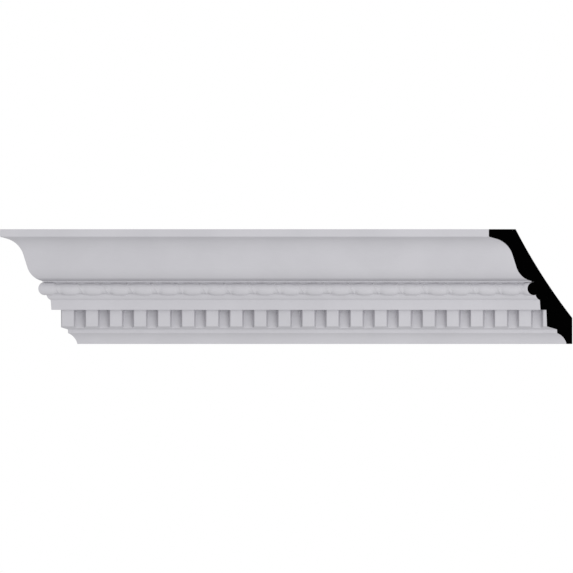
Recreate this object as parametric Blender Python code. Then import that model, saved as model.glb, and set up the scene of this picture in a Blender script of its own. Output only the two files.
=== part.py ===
"""A short run of dentil crown moulding, cast in one piece and mitred at both ends.

Metres, +Z up. The front faces -Y, the wall is the plane Y = 0, and X runs along the moulding.
The origin is the middle of the flat face that is fixed to the wall.
"""

import math

import bmesh
import bpy
from mathutils import Matrix

# The run. Both mitres lean the same way, so every line along the moulding has this length.
LENGTH = 0.4464
MITRE_ANGLE = 45.0

# Members of the section, from the top front edge down. Headings are degrees from straight down,
# turning towards the wall, so 0 is a plumb face and 90 an underside.
TOP_FILLET = 0.0064
TOP_FILLET_ROUND = 0.0006
BROW_HEADING = 74.5
BROW_LENGTH = 0.00635
HOLLOW_RADIUS = 0.0218
CYMA_SLOPE = 17.6
CYMA_STRAIGHT = 0.01244
ROUND_RADIUS = 0.01828
ROUND_END_HEADING = 78.0
QUIRK_DROP = 0.0008
QUIRK_SHELF = 0.00225
ASTRAGAL_RADIUS = 0.0045
ASTRAGAL_UNDERCUT = 15.0
OVOLO_RADIUS = 0.00619
OVOLO_START_HEADING = 12.0
OVOLO_END_HEADING = 68.0
FASCIA_HEIGHT = 0.0090
FASCIA_LEAN = 4.3
SOFFIT_DEPTH = 0.0053
DENTIL_HEIGHT = 0.0151
DENTIL_LEAN = 2.3
FOOT_DEPTH = 0.0091
FOOT_DROP = 0.00275
LOWER_FILLET = 0.00341
LOWER_FILLET_LEAN = 4.0
COVE_RADIUS = 0.0136
COVE_START_HEADING = 69.0
COVE_END_HEADING = 12.0
BOTTOM_EDGE = 0.00533

# Hidden faces: one sits on the wall, one on the ceiling, and a slightly hollow back joins them.
WALL_FACE = 0.0238
CEILING_FACE = 0.0245
BACK_HOLLOW = 0.0022

# Dentils: the row is centred near the middle of the run, and the recesses narrow inwards.
DENTIL_PITCH = 0.02196
DENTIL_WIDTH = 0.0108
DENTIL_SHIFT = 0.0044
RECESS_DEPTH_TOP = 0.0073
RECESS_DEPTH_FOOT = 0.0052
RECESS_WALL_DRAFT = 15.0

# Carved string on the astragal: long beads that slant, with a small reel in each neck. A fullness
# of 2 is an ellipse, and more is a fuller cushion. The beads sit a little low on the astragal.
BEAD_PITCH = 0.02239
BEAD_SHIFT = 0.0098
BEAD_LENGTH = 0.0186
BEAD_RADIUS = 0.0055
BEAD_FULLNESS = 2.8
BEAD_SLANT = 16.0
BEAD_SAG = 0.0006
REEL_LENGTH = 0.0040
REEL_RADIUS = 0.0051
REEL_FULLNESS = 2.0
REEL_SLANT = 32.0
STRING_CLEARANCE = 0.0001

# The bead that each mitre cuts is longer and fuller, so the cut shows its whole round.
END_LENGTH = 0.0232
END_RADIUS = 0.0060
END_FULLNESS = 4.0

# The carver's hand: how far beads drift off the even pitch, waver about it, and vary in slant.
# A turn is in radians from one bead to the next.
DRIFT = 0.0007
DRIFT_TURN = 0.78
DRIFT_START = 1.1
WAVER = 0.0012
WAVER_TURN = 3.06
WAVER_START = 2.9
SLANT_WAVER = 4.0
SLANT_TURN = 2.1

# Factory primer on cast rigid foam, as linear red, green and blue.
PRIMER_COLOUR = (0.56, 0.55, 0.58)
PRIMER_ROUGHNESS = 0.75

# Smoothness of round members, and how far cutters run past what they cut.
ARC_TOLERANCE = 0.00006
BACK_STEPS = 6
BEAD_SIDES = 12
BEAD_RINGS = 8
REEL_SIDES = 10
REEL_RINGS = 4
CUTTER_CLEARANCE = 0.004


class Outline:
    """Corner points of the section, walked from the top front edge as (set back, drop) pairs."""

    def __init__(self):
        """Starts at the top front edge."""
        self.points = [(0.0, 0.0)]

    def here(self):
        """Returns the point reached so far."""
        return self.points[-1]

    def line(self, back, down):
        """Adds a straight member."""
        u, v = self.here()
        self.points.append((u + back, v + down))

    def along(self, length, heading):
        """Adds a straight member of a given length on a heading."""
        angle = math.radians(heading)
        self.line(length * math.sin(angle), length * math.cos(angle))

    def leaning(self, drop, lean):
        """Adds a nearly plumb face of a given height."""
        self.line(drop * math.tan(math.radians(lean)), drop)

    def arc(self, radius, start, end):
        """Adds a round member between two headings: hollow where the heading falls, else bulging."""
        u, v = self.here()
        side = 1.0 if end > start else -1.0
        a, b = math.radians(start), math.radians(end)
        step = 2.0 * math.acos(1.0 - ARC_TOLERANCE / radius)
        steps = max(2, math.ceil(abs(b - a) / step))
        for i in range(1, steps + 1):
            t = a + (b - a) * i / steps
            self.points.append(
                (
                    u + side * radius * (math.cos(a) - math.cos(t)),
                    v + side * radius * (math.sin(t) - math.sin(a)),
                )
            )


def walk_section():
    """Returns the outline, and the places on it that the dentils and the string are set out from."""
    path = Outline()
    path.line(0.0, TOP_FILLET)
    path.arc(TOP_FILLET_ROUND, 0.0, BROW_HEADING)
    path.along(BROW_LENGTH, BROW_HEADING)
    path.arc(HOLLOW_RADIUS, BROW_HEADING, CYMA_SLOPE)
    path.along(CYMA_STRAIGHT, CYMA_SLOPE)
    path.arc(ROUND_RADIUS, CYMA_SLOPE, ROUND_END_HEADING)
    path.line(0.0, QUIRK_DROP)
    path.line(QUIRK_SHELF, 0.0)
    path.line(0.0, END_RADIUS - ASTRAGAL_RADIUS + STRING_CLEARANCE)
    string_back, string_top = path.here()
    string_axis = (string_back, string_top + ASTRAGAL_RADIUS)
    path.arc(ASTRAGAL_RADIUS, -90.0, 90.0 + ASTRAGAL_UNDERCUT)
    path.along(BEAD_RADIUS + BEAD_SAG - ASTRAGAL_RADIUS + STRING_CLEARANCE, ASTRAGAL_UNDERCUT)
    path.arc(OVOLO_RADIUS, OVOLO_START_HEADING, OVOLO_END_HEADING)
    path.leaning(FASCIA_HEIGHT, FASCIA_LEAN)
    path.line(SOFFIT_DEPTH, 0.0)
    dentil_top = path.here()
    path.leaning(DENTIL_HEIGHT, DENTIL_LEAN)
    dentil_foot = path.here()
    path.line(FOOT_DEPTH, FOOT_DROP)
    path.leaning(LOWER_FILLET, LOWER_FILLET_LEAN)
    path.arc(COVE_RADIUS, COVE_START_HEADING, COVE_END_HEADING)
    path.line(BOTTOM_EDGE, 0.0)
    bottom_back = path.here()
    path.line(0.0, -WALL_FACE)
    add_hollow_back(path)
    return path.points, string_axis, dentil_top, dentil_foot, bottom_back


def add_hollow_back(path):
    """Runs a shallow hollow curve from the top of the wall face to the back of the ceiling face."""
    u0, v0 = path.here()
    u1, v1 = CEILING_FACE, 0.0
    chord = math.hypot(u1 - u0, v1 - v0)
    for i in range(1, BACK_STEPS + 1):
        t = i / BACK_STEPS
        sag = 4.0 * BACK_HOLLOW * t * (1.0 - t)
        path.points.append(
            (
                u0 + (u1 - u0) * t + sag * (v1 - v0) / chord,
                v0 + (v1 - v0) * t - sag * (u1 - u0) / chord,
            )
        )


SECTION, STRING_AXIS, DENTIL_TOP, DENTIL_FOOT, BOTTOM_BACK = walk_section()
PROJECTION, HEIGHT = BOTTOM_BACK
CEILING_Z = HEIGHT - WALL_FACE / 2.0


def place(back, drop):
    """Turns a set-back from the front and a drop from the ceiling into Y and Z."""
    return back - PROJECTION, CEILING_Z - drop


def end_x(side, y):
    """X of the mitre at one side (-1 left, 1 right), at a distance y from the wall."""
    return side * LENGTH / 2.0 + y * math.tan(math.radians(MITRE_ANGLE))


def new_object(name, bm):
    """Makes a scene object of a finished bmesh."""
    mesh = bpy.data.meshes.new(name)
    bmesh.ops.recalc_face_normals(bm, faces=bm.faces)
    bm.to_mesh(mesh)
    bm.free()
    obj = bpy.data.objects.new(name, mesh)
    bpy.context.scene.collection.objects.link(obj)
    return obj


def helper(name, bm):
    """Makes an object that only cuts or adds to the moulding."""
    obj = new_object(name, bm)
    obj.hide_render = True
    obj.display_type = "WIRE"
    return obj


def add_boolean(obj, other, operation):
    """Adds an exact Boolean with another object."""
    modifier = obj.modifiers.new(other.name, "BOOLEAN")
    modifier.operation = operation
    modifier.solver = "EXACT"
    modifier.object = other


def extrude_outline(points, x_start, x_end):
    """Returns a bmesh of a closed (y, z) outline run from one X to another."""
    bm = bmesh.new()
    face = bm.faces.new([bm.verts.new((x_start, y, z)) for y, z in points])
    run = bmesh.ops.extrude_face_region(bm, geom=[face])
    ends = [item for item in run["geom"] if isinstance(item, bmesh.types.BMVert)]
    bmesh.ops.translate(bm, verts=ends, vec=(x_end - x_start, 0.0, 0.0))
    return bm


def blank():
    """The plain moulding, longer than needed at both ends."""
    points = [place(back, drop) for back, drop in SECTION]
    x_start = min(end_x(-1, -PROJECTION), end_x(-1, 0.0)) - CUTTER_CLEARANCE
    x_end = max(end_x(1, -PROJECTION), end_x(1, 0.0)) + CUTTER_CLEARANCE
    return extrude_outline(points, x_start, x_end)


def stations(pitch, shift):
    """X places at an even pitch that cover the run, with the number of each."""
    first = math.floor((end_x(-1, -PROJECTION) - shift) / pitch) - 1
    last = math.ceil((end_x(1, 0.0) - shift) / pitch) + 1
    return [(i, i * pitch + shift) for i in range(first, last + 1)]


def add_recess(bm, x):
    """Adds the drafted wedge that clears the space between two dentils."""
    front = DENTIL_TOP[0] - CUTTER_CLEARANCE
    floor_top = DENTIL_TOP[0] + RECESS_DEPTH_TOP
    floor_foot = DENTIL_FOOT[0] + RECESS_DEPTH_FOOT
    top = DENTIL_TOP[1]
    foot = DENTIL_FOOT[1] + FOOT_DROP * RECESS_DEPTH_FOOT / FOOT_DEPTH
    fall = (floor_foot - floor_top) / (foot - top)
    bottom = DENTIL_FOOT[1] + FOOT_DROP + CUTTER_CLEARANCE
    draft = math.tan(math.radians(RECESS_WALL_DRAFT))
    half_front = (DENTIL_PITCH - DENTIL_WIDTH) / 2.0
    made = bmesh.ops.create_cube(bm, size=1.0)
    for vert in made["verts"]:
        drop = top if vert.co.z > 0.0 else bottom
        back = front if vert.co.y < 0.0 else floor_top + fall * (drop - top)
        half = half_front - draft * (back - DENTIL_TOP[0])
        vert.co = (x + math.copysign(half, vert.co.x), *place(back, drop))


def recesses():
    """All the spaces between dentils."""
    bm = bmesh.new()
    for _, x in stations(DENTIL_PITCH, DENTIL_SHIFT + DENTIL_PITCH / 2.0):
        add_recess(bm, x)
    return bm


def add_olive(bm, x, length, radius, fullness, slant, sag, sides, rings):
    """Adds a round form along the string that slants, its upper side moved to the left."""
    back, drop = STRING_AXIS
    y, z = place(back, drop + sag)
    along_x = Matrix.Rotation(math.radians(90.0), 4, "Y")
    made = bmesh.ops.create_uvsphere(
        bm, u_segments=sides, v_segments=rings, radius=1.0, matrix=along_x
    )
    slope = math.tan(math.radians(slant))
    for vert in made["verts"]:
        along = min(abs(vert.co.x), 1.0)
        ellipse = math.sqrt(1.0 - along**2)
        fuller = (1.0 - along**fullness) ** (1.0 / fullness) / ellipse if ellipse > 0.0 else 0.0
        rise = vert.co.z * fuller * radius
        vert.co = (
            x + vert.co.x * length / 2.0 - rise * slope,
            y + vert.co.y * fuller * radius,
            z + rise,
        )


def is_end_bead(number):
    """True for the bead nearest to where a mitre crosses the string's axis."""
    y, _ = place(*STRING_AXIS)
    return number in [round((end_x(side, y) - BEAD_SHIFT) / BEAD_PITCH) for side in (-1, 1)]


def bead_x(number):
    """X of a bead's middle, with the unevenness that a carver's hand leaves."""
    even = BEAD_SHIFT + number * BEAD_PITCH
    if is_end_bead(number):
        return even
    drift = DRIFT * math.sin(DRIFT_TURN * number + DRIFT_START)
    waver = WAVER * math.sin(WAVER_TURN * number + WAVER_START)
    return even + drift + waver


def beads():
    """The long beads of the string."""
    bm = bmesh.new()
    for i, _ in stations(BEAD_PITCH, BEAD_SHIFT):
        if is_end_bead(i):
            add_olive(
                bm,
                bead_x(i),
                END_LENGTH,
                END_RADIUS,
                END_FULLNESS,
                0.0,
                0.0,
                BEAD_SIDES,
                BEAD_RINGS,
            )
        else:
            add_olive(
                bm,
                bead_x(i),
                BEAD_LENGTH,
                BEAD_RADIUS,
                BEAD_FULLNESS,
                BEAD_SLANT + SLANT_WAVER * math.sin(SLANT_TURN * i),
                BEAD_SAG,
                BEAD_SIDES,
                BEAD_RINGS,
            )
    return bm


def reels():
    """The small reel in each neck between two beads."""
    bm = bmesh.new()
    for i, _ in stations(BEAD_PITCH, BEAD_SHIFT):
        add_olive(
            bm,
            (bead_x(i) + bead_x(i + 1)) / 2.0,
            REEL_LENGTH,
            REEL_RADIUS,
            REEL_FULLNESS,
            REEL_SLANT,
            0.0,
            REEL_SIDES,
            REEL_RINGS,
        )
    return bm


def mitre_block():
    """The block that keeps the moulding between its two mitres."""
    below = CEILING_Z - HEIGHT - CUTTER_CLEARANCE
    above = CEILING_Z + CUTTER_CLEARANCE
    near = -PROJECTION - CUTTER_CLEARANCE
    bm = bmesh.new()
    made = bmesh.ops.create_cube(bm, size=1.0)
    for vert in made["verts"]:
        y = near if vert.co.y < 0.0 else CUTTER_CLEARANCE
        z = below if vert.co.z < 0.0 else above
        vert.co = (end_x(math.copysign(1.0, vert.co.x), y), y, z)
    return bm


def primed_finish():
    """Factory primer on cast rigid foam: a matt, faintly violet grey."""
    material = bpy.data.materials.new("primed_casting")
    material.use_nodes = True
    shader = material.node_tree.nodes["Principled BSDF"]
    shader.inputs["Base Color"].default_value = (*PRIMER_COLOUR, 1.0)
    shader.inputs["Roughness"].default_value = PRIMER_ROUGHNESS
    shader.inputs["Metallic"].default_value = 0.0
    return material


def clear_scene():
    """Removes every object."""
    for obj in list(bpy.data.objects):
        bpy.data.objects.remove(obj, do_unlink=True)


def main():
    """Builds the moulding, its cutters and its finish."""
    clear_scene()
    moulding = new_object("dentil_moulding", blank())
    add_boolean(moulding, helper("recess_cutter", recesses()), "DIFFERENCE")
    add_boolean(moulding, helper("string_beads", beads()), "UNION")
    add_boolean(moulding, helper("string_reels", reels()), "UNION")
    add_boolean(moulding, helper("mitre_trim", mitre_block()), "INTERSECT")
    moulding.data.materials.append(primed_finish())


main()
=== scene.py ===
"""A length of dentil crown moulding with its carved string, as the photograph shows it.

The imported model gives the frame: metres, +Z up, the wall is the plane Y = 0 and the front faces
-Y. One mesh piece stands for the whole casting. Its section is drawn with a pen, run along X, cut
into dentils, carved with beads and reels, and sawn off at both mitres.
"""

import logging
import math
from collections.abc import Collection, Iterator
from dataclasses import dataclass, field
from enum import Enum, IntEnum

import bmesh
import bpy
from bmesh.types import BMEdge, BMesh, BMFace, BMLayerItem, BMVert
from bpy.types import NodeSocket
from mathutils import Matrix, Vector


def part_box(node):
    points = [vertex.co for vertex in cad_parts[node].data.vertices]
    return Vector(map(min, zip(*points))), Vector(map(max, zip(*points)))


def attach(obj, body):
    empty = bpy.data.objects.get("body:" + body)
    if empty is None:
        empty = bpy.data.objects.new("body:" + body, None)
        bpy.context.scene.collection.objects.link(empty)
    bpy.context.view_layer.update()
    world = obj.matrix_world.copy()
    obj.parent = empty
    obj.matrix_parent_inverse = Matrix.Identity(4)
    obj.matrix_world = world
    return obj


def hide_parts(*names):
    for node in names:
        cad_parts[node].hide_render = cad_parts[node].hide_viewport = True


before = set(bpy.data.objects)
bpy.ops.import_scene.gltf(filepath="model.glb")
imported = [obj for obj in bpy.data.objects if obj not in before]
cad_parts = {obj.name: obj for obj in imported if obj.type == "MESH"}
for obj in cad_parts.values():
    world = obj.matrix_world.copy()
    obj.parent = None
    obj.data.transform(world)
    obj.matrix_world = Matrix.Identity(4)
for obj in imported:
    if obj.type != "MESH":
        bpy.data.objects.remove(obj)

LOG = logging.getLogger("moulding")
NODE = "dentil_moulding"
MM = 0.001

# The sRGB curve: below the knee it is a straight line.
SRGB_KNEE = 0.04045
SRGB_SLOPE = 12.92
SRGB_OFFSET = 0.055
SRGB_GAMMA = 2.4

# Octaves of every noise texture.
NOISE_DETAIL = 3.0

# Olive.reach looks no further out than this, and halves the distance this often.
FARTHEST_REACH = 8.0 * MM
HALVINGS = 14

# A recess's face is a side wall where its normal leans more than this along X; side walls are
# primed darker as painted shade.
SIDE_WALL_LEAN = 0.5

# An edge this near to a mitre's plane lies in it.
PLANE_TOLERANCE = 0.01 * MM


class Member(IntEnum):
    """Members of the section, as each face of the run remembers them."""

    FILLET = 1
    CYMA = 2
    QUIRK = 3
    GROUND = 4
    STRING = 5
    OVOLO = 6
    FASCIA = 7
    SOFFIT = 8
    DENTIL = 9
    FOOT = 10
    COVE = 11
    BACK = 12
    RECESS = 13
    # The round's last stretch, primed darker as painted shade.
    SHADE = 14


class Slot(IntEnum):
    """Material slots of the casting."""

    PRIMED = 0
    # The darker primer, painted shade for the cyma's lower edge and the recess side walls.
    PAINTED_SHADE = 1
    BACK = 2
    CUT = 3


# The lower end of the cyma's round takes the darker primer, which is painted shade.
MEMBER_SLOTS = {Member.BACK: Slot.BACK, Member.SHADE: Slot.PAINTED_SHADE}


class Side(Enum):
    """The two ends of the run, by the sign of X."""

    LEFT = -1.0
    RIGHT = 1.0


def linear(hex_colour: str) -> tuple[float, float, float, float]:
    """Turns an sRGB colour into the linear one that a shader takes.

    Args:
        hex_colour: six hexadecimal digits after a hash.

    Returns:
        Red, green, blue and an alpha of 1.
    """
    digits = hex_colour.lstrip("#")
    channels = [int(digits[i : i + 2], 16) / 255.0 for i in (0, 2, 4)]
    red, green, blue = (
        value / SRGB_SLOPE
        if value <= SRGB_KNEE
        else ((value + SRGB_OFFSET) / (1.0 + SRGB_OFFSET)) ** SRGB_GAMMA
        for value in channels
    )
    return red, green, blue, 1.0


def add_node(tree: bpy.types.NodeTree, kind: str, inputs: dict[str, object]) -> bpy.types.Node:
    """Adds a node, with its values and links.

    Args:
        tree: node tree that takes it.
        kind: Blender's name of the node's type.
        inputs: for each input's name, a value, or an output socket to link from.

    Returns:
        The new node.
    """
    node = tree.nodes.new(kind)
    for name, value in inputs.items():
        if isinstance(value, NodeSocket):
            tree.links.new(value, node.inputs[name])
        else:
            node.inputs[name].default_value = value
    return node


@dataclass(frozen=True)
class Finish:
    """What the casting's finishes share: a tone that wanders between two, and a fine relief."""

    name: str
    light_tone: str
    dark_tone: str
    roughness: float
    ior: float
    relief_depth: float
    tone_range: tuple[float, float]
    specular_level: float = 0.5

    def patterns(
        self, tree: bpy.types.NodeTree, place: NodeSocket
    ) -> tuple[NodeSocket, NodeSocket]:
        """Makes the textures.

        Args:
            tree: the material's node tree.
            place: Object coordinates.

        Returns:
            The sockets that drive the tone and the relief.
        """
        raise NotImplementedError

    def material(self) -> bpy.types.Material:
        """Builds the material.

        Returns:
            A material that reads Object coordinates.
        """
        material = bpy.data.materials.new(self.name)
        material.use_nodes = True
        tree = material.node_tree
        shader = tree.nodes["Principled BSDF"]
        shader.inputs["Roughness"].default_value = self.roughness
        shader.inputs["IOR"].default_value = self.ior
        shader.inputs["Specular IOR Level"].default_value = self.specular_level
        place = add_node(tree, "ShaderNodeTexCoord", {}).outputs["Object"]
        tone_pattern, relief_pattern = self.patterns(tree, place)
        tone = add_node(tree, "ShaderNodeValToRGB", {"Fac": tone_pattern})
        ends = zip(tone.color_ramp.elements, self.tone_range, (self.dark_tone, self.light_tone))
        for element, position, colour in ends:
            element.position = position
            element.color = linear(colour)
        tree.links.new(tone.outputs["Color"], shader.inputs["Base Color"])
        relief = add_node(
            tree, "ShaderNodeBump", {"Height": relief_pattern, "Distance": self.relief_depth}
        )
        tree.links.new(relief.outputs["Normal"], shader.inputs["Normal"])
        return material


@dataclass(frozen=True)
class PrimedCasting(Finish):
    """Rigid polyurethane casting with a sprayed factory primer.

    The mould gives a dense smooth skin and the primer a matt, faintly violet grey, so the eye sees
    an even soft shade with no glints, and only close to a very fine spray grain.
    """

    name: str = "primed_polyurethane"
    light_tone: str = "#C8C7CC"
    dark_tone: str = "#C4C3C8"
    roughness: float = 0.72
    ior: float = 1.49
    relief_depth: float = 0.006 * MM
    tone_range: tuple[float, float] = (0.35, 0.65)
    cloud_size: float = 45.0 * MM
    grain_size: float = 0.7 * MM

    def patterns(
        self, tree: bpy.types.NodeTree, place: NodeSocket
    ) -> tuple[NodeSocket, NodeSocket]:
        """Makes broad clouds for the tone, and the spray's grain for the relief.

        Args:
            tree: the material's node tree.
            place: Object coordinates.

        Returns:
            The sockets that drive the tone and the relief.
        """
        cloud, grain = (
            add_node(
                tree,
                "ShaderNodeTexNoise",
                {"Vector": place, "Scale": 1.0 / size, "Detail": NOISE_DETAIL},
            )
            for size in (self.cloud_size, self.grain_size)
        )
        return cloud.outputs["Fac"], grain.outputs["Fac"]


@dataclass(frozen=True)
class PaintedShadePrimer(PrimedCasting):
    """Rigid polyurethane casting, primed a step darker as painted shade.

    Under the cyma's lower edge and on the sides of the recesses the eye sees the same matt grey a
    step darker. This is painted shade, which makes the shadows there deeper.
    """

    name: str = "primed_polyurethane_painted_shade"
    light_tone: str = "#B9B8BD"
    dark_tone: str = "#B5B4B9"


@dataclass(frozen=True)
class PlanedBack(Finish):
    """The casting's back, planed flat after it leaves the mould and then primed.

    The planer leaves faint straight tracks along the length, which the eye reads as a coarser,
    duller surface than the moulded front.
    """

    name: str = "planed_polyurethane"
    light_tone: str = "#C6C5C9"
    dark_tone: str = "#BDBCC1"
    roughness: float = 0.85
    ior: float = 1.49
    relief_depth: float = 0.05 * MM
    tone_range: tuple[float, float] = (0.3, 0.7)
    track_width: float = 1.6 * MM
    track_length: float = 90.0 * MM

    def patterns(
        self, tree: bpy.types.NodeTree, place: NodeSocket
    ) -> tuple[NodeSocket, NodeSocket]:
        """Makes the planer's tracks along X, for the tone and the relief alike.

        Args:
            tree: the material's node tree.
            place: Object coordinates.

        Returns:
            The sockets that drive the tone and the relief.
        """
        stretch = (1.0 / self.track_length, 1.0 / self.track_width, 1.0 / self.track_width)
        stretched = add_node(tree, "ShaderNodeMapping", {"Vector": place, "Scale": stretch})
        tracks = add_node(
            tree,
            "ShaderNodeTexNoise",
            {"Vector": stretched.outputs["Vector"], "Scale": 1.0, "Detail": NOISE_DETAIL},
        )
        return tracks.outputs["Fac"], tracks.outputs["Fac"]


@dataclass(frozen=True)
class SealedCut(Finish):
    """Sawn polyurethane foam, sealed with a dead-flat black edge paint.

    The photograph shows the cut as an even black with no sheen, so the paint keeps almost no
    gloss, and its open foam grain only shows close to.
    """

    name: str = "sawn_polyurethane_sealed_black"
    light_tone: str = "#040404"
    dark_tone: str = "#000000"
    roughness: float = 1.0
    ior: float = 1.45
    relief_depth: float = 0.03 * MM
    tone_range: tuple[float, float] = (0.0, 1.0)
    specular_level: float = 0.0
    cell_size: float = 0.9 * MM

    def patterns(
        self, tree: bpy.types.NodeTree, place: NodeSocket
    ) -> tuple[NodeSocket, NodeSocket]:
        """Makes the foam's cells, for the tone and the relief alike.

        Args:
            tree: the material's node tree.
            place: Object coordinates.

        Returns:
            The sockets that drive the tone and the relief.
        """
        cells = add_node(
            tree, "ShaderNodeTexVoronoi", {"Vector": place, "Scale": 1.0 / self.cell_size}
        )
        return cells.outputs["Distance"], cells.outputs["Distance"]


@dataclass(frozen=True)
class Olive:
    """A round form along the string that slants, its upper side moved to the left."""

    x: float
    half: float
    radius: float
    fullness: float
    slant: float
    sag: float = 0.0

    def holds(self, x: float, out: float, angle: float) -> bool:
        """Tells whether a point is inside the form.

        Args:
            x: place along the moulding.
            out: distance from the string's axis.
            angle: radians above level, as seen from the front.

        Returns:
            True if the point is inside.
        """
        rise = out * math.sin(angle) + self.sag
        along = (abs(x - self.x + rise * math.tan(self.slant)) / self.half) ** self.fullness
        girth = (math.hypot(out * math.cos(angle), rise) / self.radius) ** self.fullness
        return along + girth <= 1.0

    def reach(self, x: float, angle: float) -> float:
        """Finds by halving how far the form stands out from the string's axis.

        Args:
            x: place along the moulding.
            angle: radians above level, as seen from the front.

        Returns:
            The distance, or nearly nothing where the form doesn't come.
        """
        near, far = 0.0, FARTHEST_REACH
        for _ in range(HALVINGS):
            middle = (near + far) / 2.0
            if self.holds(x, middle, angle):
                near = middle
            else:
                far = middle
        return near


@dataclass(frozen=True)
class BeadString:
    """The carved string: long beads that lean, with a small reel in each neck."""

    pitch: float = 22.39 * MM
    shift: float = 9.8 * MM
    bead_length: float = 18.6 * MM
    bead_radius: float = 5.5 * MM
    bead_fullness: float = 2.8
    bead_slant: float = 16.0
    bead_sag: float = 0.6 * MM
    reel_length: float = 4.0 * MM
    reel_radius: float = 5.1 * MM
    reel_fullness: float = 2.0
    reel_slant: float = 32.0
    end_length: float = 23.2 * MM
    end_radius: float = 6.0 * MM
    end_fullness: float = 4.0
    drift: float = 0.7 * MM
    drift_turn: float = 0.78
    drift_start: float = 1.1
    waver: float = 1.2 * MM
    waver_turn: float = 3.06
    waver_start: float = 2.9
    slant_waver: float = 4.0
    slant_turn: float = 2.1
    clearance: float = 0.1 * MM
    softness: float = 0.5 * MM
    step: float = 0.5 * MM

    def rise_above(self, astragal_radius: float) -> float:
        """Room that the string needs over the astragal."""
        return self.end_radius - astragal_radius + self.clearance

    def drop_below(self, astragal_radius: float) -> float:
        """Room that the string needs under the astragal."""
        return self.bead_radius + self.bead_sag - astragal_radius + self.clearance

    def nearest(self, x: float) -> int:
        """Number of the bead nearest to an X."""
        return round((x - self.shift) / self.pitch)

    def centre(self, number: int, end_beads: Collection[int]) -> float:
        """Places a bead, with the unevenness that a carver's hand leaves.

        Args:
            number: the bead's number.
            end_beads: numbers of the beads that the mitres cut, which keep to the even pitch.

        Returns:
            X of its middle.
        """
        even = self.shift + number * self.pitch
        if number in end_beads:
            return even
        drift = self.drift * math.sin(self.drift_turn * number + self.drift_start)
        waver = self.waver * math.sin(self.waver_turn * number + self.waver_start)
        return even + drift + waver

    def forms(self, number: int, end_beads: Collection[int]) -> Iterator[Olive]:
        """Makes one bead and the reel after it.

        Args:
            number: the bead's number.
            end_beads: numbers of the beads that the mitres cut, which are longer and fuller.

        Yields:
            The bead, then the reel.
        """
        middle = self.centre(number, end_beads)
        slant = self.bead_slant + self.slant_waver * math.sin(self.slant_turn * number)
        if number in end_beads:
            yield Olive(middle, self.end_length / 2.0, self.end_radius, self.end_fullness, 0.0)
        else:
            yield Olive(
                middle,
                self.bead_length / 2.0,
                self.bead_radius,
                self.bead_fullness,
                math.radians(slant),
                self.bead_sag,
            )
        yield Olive(
            (middle + self.centre(number + 1, end_beads)) / 2.0,
            self.reel_length / 2.0,
            self.reel_radius,
            self.reel_fullness,
            math.radians(self.reel_slant),
        )

    def blend(self, low: float, high: float) -> float:
        """The larger of two reaches, with a small fillet where they meet."""
        near = max(self.softness - abs(low - high), 0.0) / self.softness
        return max(low, high) + near * near * self.softness / 4.0

    def carve(
        self, bm: BMesh, members: BMLayerItem, axis: Vector, end_beads: Collection[int]
    ) -> int:
        """Cuts the astragal finely along its length and moves it out to the beads and reels.

        Args:
            bm: the run.
            members: the faces' member layer.
            axis: a point on the string's axis.
            end_beads: numbers of the beads that the mitres cut, which are longer and fuller.

        Returns:
            The number of points moved.
        """
        faces = [face for face in bm.faces if face[members] == Member.STRING]
        runs = {
            edge
            for face in faces
            for edge in face.edges
            if abs(edge.verts[0].co.x - edge.verts[1].co.x) > self.step
        }
        longest = max(edge.calc_length() for edge in runs)
        cuts = math.ceil(longest / self.step) - 1
        bmesh.ops.subdivide_edges(bm, edges=list(runs), cuts=cuts)
        faces = [face for face in bm.faces if face[members] == Member.STRING]
        verts = {vert for face in faces for vert in face.verts}
        for vert in verts:
            off = vert.co - axis
            angle = math.atan2(off.z, -off.y)
            number = math.floor((vert.co.x - self.shift) / self.pitch)
            out = math.hypot(off.y, off.z)
            for near in (number - 1, number, number + 1):
                for form in self.forms(near, end_beads):
                    out = self.blend(out, form.reach(vert.co.x, angle))
            vert.co.y = axis.y - out * math.cos(angle)
            vert.co.z = axis.z + out * math.sin(angle)
        return len(verts)


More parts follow.
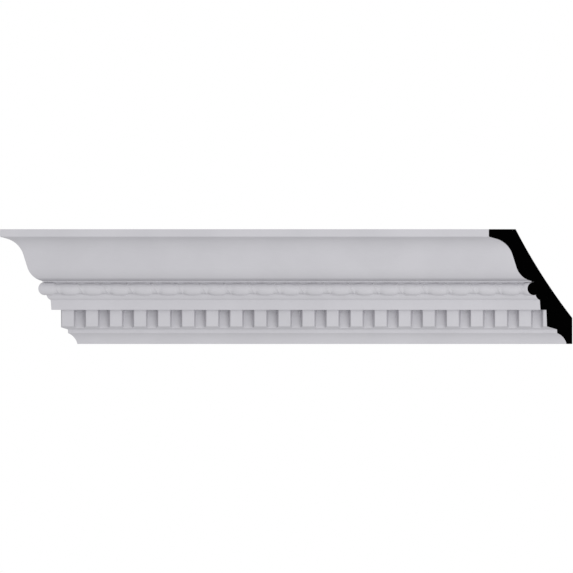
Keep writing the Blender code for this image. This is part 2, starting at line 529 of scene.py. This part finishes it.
class SectionPen:
    """Draws the section as a chain of edges, each marked with its member.

    Headings are degrees from straight down, turning towards the wall, so 0 is a plumb face and 90
    an underside.
    """

    def __init__(self, bm: BMesh, start: Vector, tolerance: float) -> None:
        """Puts the pen down.

        Args:
            bm: empty bmesh that takes the chain.
            start: the top front edge of the moulding.
            tolerance: how far a round member's facets may stand off the true curve.
        """
        self.bm = bm
        self.start = bm.verts.new(start)
        self.last = self.start
        self.tolerance = tolerance
        self.marks = bm.edges.layers.int.new("member")

    def here(self) -> Vector:
        """The pen's place."""
        return self.last.co.copy()

    def _mark(self, member: Member) -> None:
        """Gives the newest edges their member.

        Args:
            member: what they belong to.
        """
        for edge in self.bm.edges:
            if edge[self.marks] == 0:
                edge[self.marks] = member

    def line(self, member: Member, back: float, down: float) -> None:
        """Draws a straight member.

        Args:
            member: what it belongs to.
            back: how far it runs towards the wall.
            down: how far it drops.
        """
        made = bmesh.ops.extrude_vert_indiv(self.bm, verts=[self.last])
        self.last = made["verts"][0]
        bmesh.ops.translate(self.bm, verts=[self.last], vec=(0.0, back, -down))
        self._mark(member)

    def along(self, member: Member, length: float, heading: float) -> None:
        """Draws a straight member of a given length on a heading."""
        angle = math.radians(heading)
        self.line(member, length * math.sin(angle), length * math.cos(angle))

    def leaning(self, member: Member, drop: float, lean: float) -> None:
        """Draws a nearly plumb face of a given height."""
        self.line(member, drop * math.tan(math.radians(lean)), drop)

    def arc(
        self, member: Member, radius: float, start: float, end: float, steps: int = 0
    ) -> None:
        """Draws a round member: hollow where the heading falls, otherwise bulging.

        Args:
            member: what it belongs to.
            radius: its radius.
            start: heading where it begins.
            end: heading where it ends.
            steps: number of facets, or 0 to keep to the tolerance.
        """
        turn = math.radians(end - start)
        side = math.copysign(radius, turn)
        angle = math.radians(start)
        step = 2.0 * math.acos(1.0 - self.tolerance / radius)
        made = bmesh.ops.spin(
            self.bm,
            geom=[self.last],
            cent=self.here() + Vector((0.0, side * math.cos(angle), side * math.sin(angle))),
            axis=(1.0, 0.0, 0.0),
            angle=turn,
            steps=steps or max(2, math.ceil(abs(turn) / step)),
        )
        self.last = made["geom_last"][0]
        self._mark(member)

    def close(self, member: Member) -> None:
        """Draws the last member, back to where the pen started."""
        self.bm.edges.new((self.last, self.start))
        self._mark(member)


@dataclass(frozen=True)
class Section:
    """The moulding's section, from the top front edge down, round the foot and up the back."""

    top_fillet: float = 6.4 * MM
    top_fillet_round: float = 0.6 * MM
    brow_heading: float = 74.5
    brow_length: float = 6.35 * MM
    hollow_radius: float = 21.8 * MM
    cyma_slope: float = 17.6
    cyma_straight: float = 12.44 * MM
    round_radius: float = 18.28 * MM
    # Heading where the round's last stretch, primed darker as painted shade, begins.
    round_shade_heading: float = 58.5
    round_end_heading: float = 78.0
    quirk_drop: float = 0.8 * MM
    quirk_shelf: float = 2.25 * MM
    astragal_radius: float = 4.5 * MM
    astragal_undercut: float = 15.0
    astragal_facets: int = 32
    ovolo_radius: float = 6.19 * MM
    ovolo_start: float = 12.0
    ovolo_end: float = 68.0
    fascia_height: float = 9.0 * MM
    fascia_lean: float = 4.3
    soffit_depth: float = 5.3 * MM
    dentil_height: float = 15.1 * MM
    dentil_lean: float = 2.3
    foot_depth: float = 9.1 * MM
    foot_drop: float = 2.75 * MM
    lower_fillet: float = 3.41 * MM
    lower_fillet_lean: float = 4.0
    cove_radius: float = 13.6 * MM
    cove_start: float = 69.0
    cove_end: float = 12.0
    bottom_edge: float = 5.33 * MM
    wall_face: float = 23.8 * MM
    ceiling_face: float = 24.5 * MM
    back_hollow: float = 2.2 * MM
    tolerance: float = 0.01 * MM

    def draw(self, bm: BMesh, start: Vector, string: BeadString) -> Vector:
        """Draws the closed section.

        Args:
            bm: empty bmesh that takes it.
            start: the top front edge.
            string: the carved string, which the section leaves room for.

        Returns:
            A point on the string's axis.
        """
        pen = SectionPen(bm, start, self.tolerance)
        pen.line(Member.FILLET, 0.0, self.top_fillet)
        pen.arc(Member.FILLET, self.top_fillet_round, 0.0, self.brow_heading)
        pen.along(Member.CYMA, self.brow_length, self.brow_heading)
        pen.arc(Member.CYMA, self.hollow_radius, self.brow_heading, self.cyma_slope)
        pen.along(Member.CYMA, self.cyma_straight, self.cyma_slope)
        pen.arc(Member.CYMA, self.round_radius, self.cyma_slope, self.round_shade_heading)
        # The round's last stretch is its own member, primed darker as painted shade.
        pen.arc(Member.SHADE, self.round_radius, self.round_shade_heading, self.round_end_heading)
        pen.line(Member.QUIRK, 0.0, self.quirk_drop)
        pen.line(Member.QUIRK, self.quirk_shelf, 0.0)
        pen.line(Member.GROUND, 0.0, string.rise_above(self.astragal_radius))
        string_axis = pen.here() - Vector((0.0, 0.0, self.astragal_radius))
        undercut = self.astragal_undercut
        facets = self.astragal_facets
        pen.arc(Member.STRING, self.astragal_radius, -90.0, 90.0 + undercut, facets)
        pen.along(Member.GROUND, string.drop_below(self.astragal_radius), undercut)
        pen.arc(Member.OVOLO, self.ovolo_radius, self.ovolo_start, self.ovolo_end)
        pen.leaning(Member.FASCIA, self.fascia_height, self.fascia_lean)
        pen.line(Member.SOFFIT, self.soffit_depth, 0.0)
        pen.leaning(Member.DENTIL, self.dentil_height, self.dentil_lean)
        pen.line(Member.FOOT, self.foot_depth, self.foot_drop)
        pen.leaning(Member.COVE, self.lower_fillet, self.lower_fillet_lean)
        pen.arc(Member.COVE, self.cove_radius, self.cove_start, self.cove_end)
        pen.line(Member.COVE, self.bottom_edge, 0.0)
        pen.line(Member.BACK, 0.0, -self.wall_face)
        self._draw_back(pen, start)
        pen.close(Member.BACK)
        return string_axis

    def _draw_back(self, pen: SectionPen, start: Vector) -> None:
        """Draws the hollow back as one shallow arc.

        Args:
            pen: the pen, at the top of the wall face.
            start: the top front edge, level with the ceiling face.
        """
        chord = start + Vector((0.0, self.ceiling_face, 0.0)) - pen.here()
        half = chord.length / 2.0
        radius = (half**2 + self.back_hollow**2) / (2.0 * self.back_hollow)
        heading = math.degrees(math.atan2(chord.y, -chord.z))
        bend = math.degrees(math.asin(half / radius))
        pen.arc(Member.BACK, radius, heading + bend, heading - bend)


@dataclass(frozen=True)
class DentilRow:
    """The dentils, and the drafted recesses between them."""

    pitch: float = 21.96 * MM
    width: float = 10.8 * MM
    shift: float = 4.4 * MM
    depth_top: float = 7.3 * MM
    depth_foot: float = 5.2 * MM
    draft: float = 15.0

    def edges(self, start: float, end: float) -> list[float]:
        """Lists both sides of every dentil between two X places.

        Args:
            start: X where the run starts.
            end: X where it ends.

        Returns:
            The X of each side.
        """
        first = math.floor((start - self.shift) / self.pitch) - 1
        last = math.ceil((end - self.shift) / self.pitch) + 1
        sides = [
            self.shift + number * self.pitch + side.value * self.width / 2.0
            for number in range(first, last + 1)
            for side in Side
        ]
        return [x for x in sides if start < x < end]

    def is_recess(self, x: float) -> bool:
        """True where X lies between two dentils."""
        off = (x - self.shift) / self.pitch
        return abs(off - round(off)) * self.pitch > self.width / 2.0

    def cut(self, bm: BMesh, members: BMLayerItem, section: Section) -> int:
        """Sinks every recess of a run that has an edge at each side of each dentil.

        Args:
            bm: the run.
            members: the faces' member layer.
            section: sizes of the section.

        Returns:
            The number of recesses.
        """
        fronts = [
            face
            for face in bm.faces
            if face[members] == Member.DENTIL and self.is_recess(face.calc_center_median().x)
        ]
        for front in fronts:
            self._sink(bm, members, front, section)
        return len(fronts)

    def _sink(self, bm: BMesh, members: BMLayerItem, front: BMFace, section: Section) -> None:
        """Pushes one face back into a recess and opens the recess below.

        Args:
            bm: the run.
            members: the faces' member layer.
            front: the face between two dentils.
            section: sizes of the section.
        """
        middle = front.calc_center_median()
        foot = min(front.edges, key=lambda edge: sum(vert.co.z for vert in edge.verts))
        slope = next(face for face in foot.link_faces if face[members] == Member.FOOT)
        outer = [vert for vert in slope.verts if vert not in foot.verts]
        made = bmesh.ops.extrude_discrete_faces(bm, faces=[front])
        floor = made["faces"][0]
        draft = math.tan(math.radians(self.draft))
        fall = section.foot_drop / section.foot_depth
        low = []
        for vert in floor.verts:
            is_top = vert.co.z > middle.z
            depth = self.depth_top if is_top else self.depth_foot
            inward = math.copysign(depth * draft, middle.x - vert.co.x)
            vert.co += Vector((inward, depth, 0.0 if is_top else -depth * fall))
            if not is_top:
                low.append(vert)
        under = next(face for face in foot.link_faces if face is not slope)
        for face in [face for edge in floor.edges for face in edge.link_faces]:
            face[members] = Member.RECESS
            face.normal_update()
            # Recess side walls take the darker primer: painted shade in the recesses.
            if abs(face.normal.x) > SIDE_WALL_LEAN:
                face.material_index = Slot.PAINTED_SHADE
        bmesh.ops.delete(bm, geom=[under, slope], context="FACES")
        rim = [edge for vert in low + outer for edge in vert.link_edges if edge.is_boundary]
        filled = bmesh.ops.holes_fill(bm, edges=list(set(rim)), sides=0)
        for face in filled["faces"]:
            face[members] = Member.FOOT
        for vert in low:
            near = min(outer, key=lambda other: abs(other.co.x - vert.co.x))
            bmesh.ops.connect_verts(bm, verts=[vert, near])


@dataclass
class CrownMoulding:
    """The casting: section, dentils, string and mitres."""

    name: str = "dentil_moulding_carved"
    section: Section = field(default_factory=Section)
    dentils: DentilRow = field(default_factory=DentilRow)
    string: BeadString = field(default_factory=BeadString)
    overrun: float = 6.0 * MM
    arris: float = 0.3 * MM
    arris_segments: int = 2
    arris_profile: float = 0.5
    arris_angle: float = 25.0
    smooth_angle: float = 30.0

    def build(self) -> bpy.types.Object:
        """Models the piece inside the box of the CAD node it stands for.

        Returns:
            The finished object, at the origin.
        """
        low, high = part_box(NODE)
        start = Vector((low.x - self.overrun, low.y, high.z))
        length = high.x - low.x + 2.0 * self.overrun
        bm = bmesh.new()
        axis = self.section.draw(bm, start, self.string)
        members = self._run(bm, length)
        self._cut_dentils(bm, members, start.x, start.x + length)
        self._ease_arrises(bm, members)
        self._carve_string(bm, members, axis, low, high)
        for side in Side:
            self._saw(bm, side, low, high)
        return self._finished(bm)

    def _run(self, bm: BMesh, length: float) -> BMLayerItem:
        """Runs the section along X.

        Args:
            bm: the drawn section.
            length: how far it runs.

        Returns:
            The layer that tells each face's member.
        """
        made = bmesh.ops.extrude_edge_only(bm, edges=bm.edges[:])
        ends = [item for item in made["geom"] if isinstance(item, BMVert)]
        bmesh.ops.translate(bm, verts=ends, vec=(length, 0.0, 0.0))
        members = bm.faces.layers.int.new("member")
        marks = bm.edges.layers.int["member"]
        for face in bm.faces:
            face[members] = max(edge[marks] for edge in face.edges)
            face.material_index = MEMBER_SLOTS.get(face[members], Slot.PRIMED)
        return members

    def _cut_dentils(self, bm: BMesh, members: BMLayerItem, start: float, end: float) -> None:
        """Cuts the run at each side of each dentil and sinks the recesses.

        Args:
            bm: the run.
            members: the faces' member layer.
            start: X where the run starts.
            end: X where it ends.
        """
        for x in self.dentils.edges(start, end):
            bmesh.ops.bisect_plane(
                bm,
                geom=bm.verts[:] + bm.edges[:] + bm.faces[:],
                plane_co=(x, 0.0, 0.0),
                plane_no=(1.0, 0.0, 0.0),
            )
        recesses = self.dentils.cut(bm, members, self.section)
        LOG.info("%s: %d recesses sunk between the dentils", self.name, recesses)

    def _ease_arrises(self, bm: BMesh, members: BMLayerItem) -> None:
        """Rounds the arrises a little, as a mould leaves them.

        Args:
            bm: the run with its recesses.
            members: the faces' member layer.
        """
        eased = [edge for edge in bm.edges if self._is_arris(edge, members)]
        made = bmesh.ops.bevel(
            bm,
            geom=eased,
            offset=self.arris,
            offset_type="OFFSET",
            segments=self.arris_segments,
            profile=self.arris_profile,
            affect="EDGES",
            clamp_overlap=True,
            material=-1,
        )
        for face in made["faces"]:
            face.material_index = Slot.PRIMED

    def _is_arris(self, edge: BMEdge, members: BMLayerItem) -> bool:
        """Tells whether an edge is one that the mould rounds.

        Args:
            edge: any edge of the run.
            members: the faces' member layer.

        Returns:
            True for an edge between two flats of the front that meet at an angle.
        """
        if len(edge.link_faces) != 2:
            return False
        kinds = {face[members] for face in edge.link_faces}
        if kinds & {Member.STRING, Member.BACK, Member.QUIRK}:
            return False
        return edge.calc_face_angle() > math.radians(self.arris_angle)

    def _carve_string(
        self, bm: BMesh, members: BMLayerItem, axis: Vector, low: Vector, high: Vector
    ) -> None:
        """Carves the string, with its longer beads where the mitres cross its axis.

        Args:
            bm: the run.
            members: the faces' member layer.
            axis: a point on the string's axis.
            low: lowest corner of the CAD box.
            high: highest corner of the CAD box.
        """
        corners = [self._mitre_x(side, low, high) for side in Side]
        end_beads = [self.string.nearest(x + axis.y - high.y) for x in corners]
        moved = self.string.carve(bm, members, axis, end_beads)
        LOG.info("%s: string carved with %d points", self.name, moved)

    @staticmethod
    def _mitre_x(side: Side, low: Vector, high: Vector) -> float:
        """X where a mitre meets the wall."""
        return high.x if side is Side.RIGHT else low.x + high.y - low.y

    def _saw(self, bm: BMesh, side: Side, low: Vector, high: Vector) -> None:
        """Saws the run off at one mitre and seals the cut.

        Args:
            bm: the run.
            side: which end.
            low: lowest corner of the CAD box.
            high: highest corner of the CAD box.
        """
        corner = Vector((self._mitre_x(side, low, high), high.y, 0.0))
        bmesh.ops.bisect_plane(
            bm,
            geom=bm.verts[:] + bm.edges[:] + bm.faces[:],
            plane_co=corner,
            plane_no=Vector((1.0, -1.0, 0.0)) * side.value,
            clear_outer=True,
        )
        rim = [edge for edge in bm.edges if edge.is_boundary and self._on_mitre(edge, corner)]
        filled = bmesh.ops.holes_fill(bm, edges=rim, sides=0)
        for face in filled["faces"]:
            face.material_index = Slot.CUT
        LOG.info("%s: %s mitre sawn, %d faces", self.name, side.name.lower(), len(filled["faces"]))

    @staticmethod
    def _on_mitre(edge: BMEdge, corner: Vector) -> bool:
        """True for an edge that lies in the plane of the mitre through a corner."""
        offs = [vert.co - corner for vert in edge.verts]
        return all(abs(off.x - off.y) < PLANE_TOLERANCE for off in offs)

    def _finished(self, bm: BMesh) -> bpy.types.Object:
        """Makes an object of the sawn run.

        Args:
            bm: the run, which is freed.

        Returns:
            The object, smooth on its round members.
        """
        bmesh.ops.recalc_face_normals(bm, faces=bm.faces)
        mesh = bpy.data.meshes.new(self.name)
        bm.to_mesh(mesh)
        bm.free()
        mesh.shade_smooth()
        mesh.set_sharp_from_angle(angle=math.radians(self.smooth_angle))
        piece = bpy.data.objects.new(self.name, mesh)
        bpy.context.scene.collection.objects.link(piece)
        return piece

    def dress(self, piece: bpy.types.Object) -> None:
        """Gives the piece its finishes and its place in the frame.

        Args:
            piece: the finished object.
        """
        # The second finish is the darker primer: painted shade on the cyma's lower edge and recess
        # walls.
        for finish in (PrimedCasting(), PaintedShadePrimer(), PlanedBack(), SealedCut()):
            piece.data.materials.append(finish.material())
        weigh = piece.modifiers.new("flat_normals", "WEIGHTED_NORMAL")
        weigh.keep_sharp = True
        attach(piece, "root")
        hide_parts(NODE)


@dataclass(frozen=True)
class PhotoCamera:
    """A level camera square to the wall, with no perspective, framed as the photograph is."""

    frame_size: float = 573.0
    top_pixel: float = 229.17
    bottom_pixel: float = 343.97
    right_pixel: float = 572.28
    distance: float = 1.2
    far_clip: float = 10.0

    def build(self) -> bpy.types.Object:
        """Makes the scene's camera from the CAD box and the photograph's pixel places.

        Returns:
            The camera.
        """
        low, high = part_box(NODE)
        scale = (high.z - low.z) / (self.bottom_pixel - self.top_pixel)
        middle = self.frame_size / 2.0
        data = bpy.data.cameras.new("photo_camera")
        data.type = "ORTHO"
        data.ortho_scale = scale * self.frame_size
        data.clip_end = self.far_clip
        camera = bpy.data.objects.new("photo_camera", data)
        bpy.context.scene.collection.objects.link(camera)
        x = high.x - (self.right_pixel - middle) * scale
        z = high.z - (middle - self.top_pixel) * scale
        camera.location = (x, low.y - self.distance, z)
        camera.rotation_euler = (math.radians(90.0), 0.0, 0.0)
        bpy.context.scene.camera = camera
        return camera


@dataclass(frozen=True)
class SoftLight:
    """A large soft light aimed at the moulding.

    Azimuth 0 is in front of the wall and turns towards +X, and elevation is above level.
    """

    name: str
    azimuth: float
    elevation: float
    power: float
    size: float = 1.6
    distance: float = 2.2

    def build(self, target: Vector) -> bpy.types.Object:
        """Makes the light.

        Args:
            target: the point that it faces.

        Returns:
            The light.
        """
        data = bpy.data.lights.new(self.name, "AREA")
        data.shape = "DISK"
        data.size = self.size
        data.energy = self.power
        light = bpy.data.objects.new(self.name, data)
        bpy.context.scene.collection.objects.link(light)
        around, up = math.radians(self.azimuth), math.radians(self.elevation)
        level = math.cos(up)
        aim = Vector((math.sin(around) * level, -math.cos(around) * level, math.sin(up)))
        light.location = target + aim * self.distance
        light.rotation_mode = "QUATERNION"
        light.rotation_quaternion = aim.to_track_quat("Z", "Y")
        light.visible_camera = False
        return light


@dataclass(frozen=True)
class Studio:
    """The plain pale floor, the white surround and the soft lights."""

    floor_drop: float = 0.85
    floor_radius: float = 1.1
    floor_segments: int = 96
    floor_tone: str = "#F2F2F2"
    floor_roughness: float = 0.9
    surround_tone: str = "#FFFFFF"
    surround_light: float = 0.65
    lights: tuple[SoftLight, ...] = (
        SoftLight("right_light", 34.0, 0.0, 17.0),
        SoftLight("left_light", -50.0, 0.0, 5.0),
        SoftLight("top_light", 0.0, 35.0, 1.4),
    )

    def build(self) -> None:
        """Makes the floor, the surround and the lights."""
        low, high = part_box(NODE)
        middle = (low + high) / 2.0
        self._floor(middle)
        self._surround()
        for light in self.lights:
            light.build(middle)
            LOG.info("%s: placed", light.name)

    def _floor(self, middle: Vector) -> None:
        """Lays a round floor well below the moulding, out of the photograph's view.

        Args:
            middle: middle of the CAD box, which the floor is centred under.
        """
        bm = bmesh.new()
        bmesh.ops.create_circle(
            bm, cap_ends=True, segments=self.floor_segments, radius=self.floor_radius
        )
        bmesh.ops.translate(bm, verts=bm.verts, vec=(middle.x, middle.y, -self.floor_drop))
        mesh = bpy.data.meshes.new("floor")
        bm.to_mesh(mesh)
        bm.free()
        material = bpy.data.materials.new("pale_floor")
        material.use_nodes = True
        shader = material.node_tree.nodes["Principled BSDF"]
        shader.inputs["Base Color"].default_value = linear(self.floor_tone)
        shader.inputs["Roughness"].default_value = self.floor_roughness
        mesh.materials.append(material)
        floor = bpy.data.objects.new("floor", mesh)
        bpy.context.scene.collection.objects.link(floor)

    def _surround(self) -> None:
        """Makes a white surround that lights less than it shows, as a lit studio wall does."""
        world = bpy.data.worlds.new("white_studio")
        bpy.context.scene.world = world
        world.use_nodes = True
        tree = world.node_tree
        tree.nodes.clear()
        seen = add_node(tree, "ShaderNodeLightPath", {}).outputs["Is Camera Ray"]
        strength = add_node(
            tree,
            "ShaderNodeMapRange",
            {"Value": seen, "To Min": self.surround_light, "To Max": 1.0},
        )
        glow = add_node(
            tree,
            "ShaderNodeBackground",
            {"Color": linear(self.surround_tone), "Strength": strength.outputs["Result"]},
        )
        add_node(tree, "ShaderNodeOutputWorld", {"Surface": glow.outputs["Background"]})


def main() -> None:
    """Builds the camera, the casting and the studio in order, and reports each."""
    logging.basicConfig(level=logging.INFO, format="%(name)s: %(message)s")
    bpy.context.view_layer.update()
    bpy.context.scene.view_settings.view_transform = "Standard"
    PhotoCamera().build()
    LOG.info("photo_camera: placed")
    moulding = CrownMoulding()
    piece = moulding.build()
    moulding.dress(piece)
    LOG.info("%s: %d faces", piece.name, len(piece.data.polygons))
    Studio().build()


if __name__ == "__main__":
    main()
